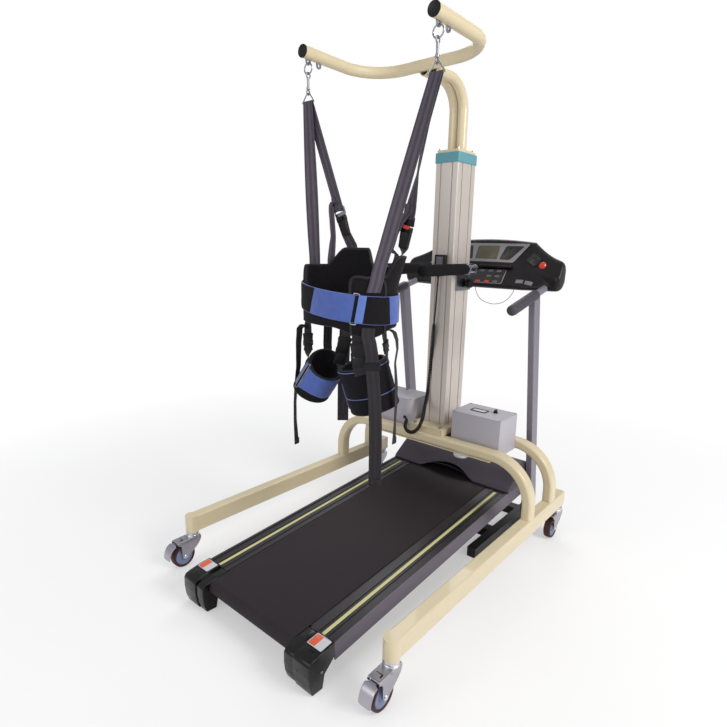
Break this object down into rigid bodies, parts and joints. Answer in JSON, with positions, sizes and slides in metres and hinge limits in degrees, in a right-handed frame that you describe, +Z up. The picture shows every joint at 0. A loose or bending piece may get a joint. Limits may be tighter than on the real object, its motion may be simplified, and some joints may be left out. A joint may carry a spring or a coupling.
{
  "type": "body weight support system",
  "caption": "Wheeled body weight support gantry with a motor-driven lifting column, a padded walking harness hung from a U-shaped yoke, and a treadmill standing between its legs.",
  "frame": {"origin": "on the floor, in the middle of the part's outline", "axes": "+Z up, +Y the way the user walks, +X to the user's right"},
  "size_m": [1.129, 1.624, 2.088],
  "materials": {
    "cream_paint": "satin",
    "aluminium": "satin anodised",
    "teal_plastic": "satin",
    "steel": "zinc plated",
    "chrome": "polished",
    "foam": "matt foam",
    "box_paint": "textured",
    "black_plastic": "satin",
    "grey_plastic": "satin",
    "cord_rubber": "matt",
    "lanyard_plastic": "satin",
    "wheel": "moulded tread on a plastic hub",
    "webbing": "woven",
    "padding": "padded cloth",
    "blue_cloth": "loop cloth",
    "red_plastic": "gloss",
    "charcoal_paint": "satin",
    "hood_plastic": "textured",
    "upright_paint": "satin",
    "board": "laminated board",
    "belt_rubber": "ribbed"
  },
  "bodies": {
    "frame": {"legs": "cream_paint", "front_arch": "cream_paint", "rear_arch": "cream_paint", "shelf_plate": "cream_paint", "column_base_plate": "cream_paint", "column_outer": "aluminium", "column_collar": "teal_plastic", "lift_motor": "charcoal_paint", "control_box": "box_paint", "supply_box": "box_paint", "pendant_body": "black_plastic", "curly_cord": "cord_rubber", "tread_rails": "charcoal_paint", "deck_board": "board", "running_belt": "belt_rubber", "drive_motor": "charcoal_paint", "motor_hood": "hood_plastic", "end_caps": "black_plastic", "tread_base": "charcoal_paint", "uprights": "upright_paint", "console": "black_plastic", "lanyard": "lanyard_plastic", "handrails": "upright_paint"},
    "handles": {"grip_bars": "chrome", "foam_grips": "foam"},
    "clamp_left": {"clamp_knob_left": "black_plastic"},
    "clamp_right": {"clamp_knob_right": "black_plastic"},
    "switch": {"power_knob": "black_plastic"},
    "supply_key": {"supply_button": "teal_plastic"},
    "pendant_up": {"pendant_up_button": "grey_plastic"},
    "pendant_down": {"pendant_down_button": "grey_plastic"},
    "lift": {"column_inner": "aluminium", "mast_flange": "cream_paint", "riser_tubes": "cream_paint", "yoke": "cream_paint", "yoke_end_caps": "black_plastic"},
    "screw": {"lead_screw": "steel"},
    "harness": {"strap_rings": "chrome", "snap_hooks": "steel", "harness_straps": "webbing", "buckle_bodies": "black_plastic", "vest": "padding", "waist_belt": "blue_cloth", "leg_cuffs": "padding", "leg_webbing": "webbing"},
    "buckle_key_left": {"buckle_button_left": "red_plastic"},
    "buckle_key_right": {"buckle_button_right": "red_plastic"},
    "roller_front": {"front_roller": "steel"},
    "roller_rear": {"rear_roller": "steel"},
    "stop_key": {"stop_button": "red_plastic"},
    "swivel_front_left": {"caster_fork_front_left": "steel"},
    "wheel_front_left": {"caster_wheel_front_left": "wheel"},
    "swivel_front_right": {"caster_fork_front_right": "steel"},
    "wheel_front_right": {"caster_wheel_front_right": "wheel"},
    "swivel_rear_left": {"caster_fork_rear_left": "steel"},
    "wheel_rear_left": {"caster_wheel_rear_left": "wheel"},
    "swivel_rear_right": {"caster_fork_rear_right": "steel"},
    "wheel_rear_right": {"caster_wheel_rear_right": "wheel"},
    "pedal_left": {"brake_pedal_left": "steel"},
    "pedal_right": {"brake_pedal_right": "steel"}
  },
  "joints": [
    {"name": "handles_height", "type": "slide", "parent": "frame", "child": "handles", "axis": [0, 0, 1], "range_m": [-0.15, 0.15]},
    {"name": "clamp_left_turn", "type": "hinge", "parent": "handles", "child": "clamp_left", "pos_m": [-0.0579, 0.498, 1.18], "axis": [1, 0, 0], "continuous": true},
    {"name": "clamp_right_turn", "type": "hinge", "parent": "handles", "child": "clamp_right", "pos_m": [0.0579, 0.498, 1.18], "axis": [1, 0, 0], "continuous": true},
    {"name": "switch_turn", "type": "hinge", "parent": "frame", "child": "switch", "pos_m": [0.28928, 0.4494, 0.597], "axis": [0, 0, 1], "range_deg": [0, 270]},
    {"name": "supply_press", "type": "slide", "parent": "frame", "child": "supply_key", "axis": [0, 0, -1], "range_m": [0, 0.003], "stiffness_N_per_m": 400},
    {"name": "pendant_up_press", "type": "slide", "parent": "frame", "child": "pendant_up", "axis": [0, 1, 0], "range_m": [0, 0.002], "stiffness_N_per_m": 400},
    {"name": "pendant_down_press", "type": "slide", "parent": "frame", "child": "pendant_down", "axis": [0, 1, 0], "range_m": [0, 0.002], "stiffness_N_per_m": 400},
    {"name": "lift_slide", "type": "slide", "parent": "frame", "child": "lift", "axis": [0, 0, 1], "range_m": [0, 0.5]},
    {"name": "screw_turn", "type": "hinge", "parent": "frame", "child": "screw", "pos_m": [0, 0.462, 1.105], "axis": [0, 0, 1], "range_deg": [0, 9001]},
    {"name": "harness_swing", "type": "hinge", "parent": "lift", "child": "harness", "pos_m": [0, -0.175, 2.029], "axis": [1, 0, 0], "range_deg": [-5, 5]},
    {"name": "buckle_left_press", "type": "slide", "parent": "harness", "child": "buckle_key_left", "axis": [0.2773, 0.1248, -0.9527], "range_m": [0, 0.004], "stiffness_N_per_m": 400},
    {"name": "buckle_right_press", "type": "slide", "parent": "harness", "child": "buckle_key_right", "axis": [-0.2442, 0.0686, -0.9673], "range_m": [0, 0.004], "stiffness_N_per_m": 400},
    {"name": "front_roller_turn", "type": "hinge", "parent": "frame", "child": "roller_front", "pos_m": [0.022, 0.63131, 0.17613], "axis": [1, 0, 0], "continuous": true},
    {"name": "rear_roller_turn", "type": "hinge", "parent": "frame", "child": "roller_rear", "pos_m": [0.022, -0.75425, 0.09381], "axis": [1, 0, 0], "continuous": true},
    {"name": "stop_press", "type": "slide", "parent": "frame", "child": "stop_key", "axis": [0, 0.9135, -0.4067], "range_m": [0, 0.004], "stiffness_N_per_m": 600},
    {"name": "swivel_front_left_turn", "type": "hinge", "parent": "frame", "child": "swivel_front_left", "pos_m": [-0.5375, -0.638, 0.141], "axis": [0, 0, 1], "continuous": true},
    {"name": "wheel_front_left_roll", "type": "hinge", "parent": "swivel_front_left", "child": "wheel_front_left", "pos_m": [-0.5375, -0.689, 0.05], "axis": [1, 0, 0], "continuous": true},
    {"name": "swivel_front_right_turn", "type": "hinge", "parent": "frame", "child": "swivel_front_right", "pos_m": [0.5375, -0.638, 0.141], "axis": [0, 0, 1], "continuous": true},
    {"name": "wheel_front_right_roll", "type": "hinge", "parent": "swivel_front_right", "child": "wheel_front_right", "pos_m": [0.5375, -0.689, 0.05], "axis": [1, 0, 0], "continuous": true},
    {"name": "swivel_rear_left_turn", "type": "hinge", "parent": "frame", "child": "swivel_rear_left", "pos_m": [-0.5375, 0.66, 0.141], "axis": [0, 0, 1], "continuous": true},
    {"name": "wheel_rear_left_roll", "type": "hinge", "parent": "swivel_rear_left", "child": "wheel_rear_left", "pos_m": [-0.5375, 0.609, 0.05], "axis": [1, 0, 0], "continuous": true},
    {"name": "swivel_rear_right_turn", "type": "hinge", "parent": "frame", "child": "swivel_rear_right", "pos_m": [0.5375, 0.66, 0.141], "axis": [0, 0, 1], "continuous": true},
    {"name": "wheel_rear_right_roll", "type": "hinge", "parent": "swivel_rear_right", "child": "wheel_rear_right", "pos_m": [0.5375, 0.609, 0.05], "axis": [1, 0, 0], "continuous": true},
    {"name": "pedal_left_tread", "type": "hinge", "parent": "swivel_front_left", "child": "pedal_left", "pos_m": [-0.5375, -0.662, 0.1126], "axis": [1, 0, 0], "range_deg": [0, 12]},
    {"name": "pedal_right_tread", "type": "hinge", "parent": "swivel_front_right", "child": "pedal_right", "pos_m": [0.5375, -0.662, 0.1126], "axis": [1, 0, 0], "range_deg": [0, 12]}
  ],
  "couplings": [
    {"joint": "screw_turn", "follows": "lift_slide", "rad_per_m": 314.16},
    {"joint": "rear_roller_turn", "follows": "front_roller_turn", "ratio": 1}
  ]
}
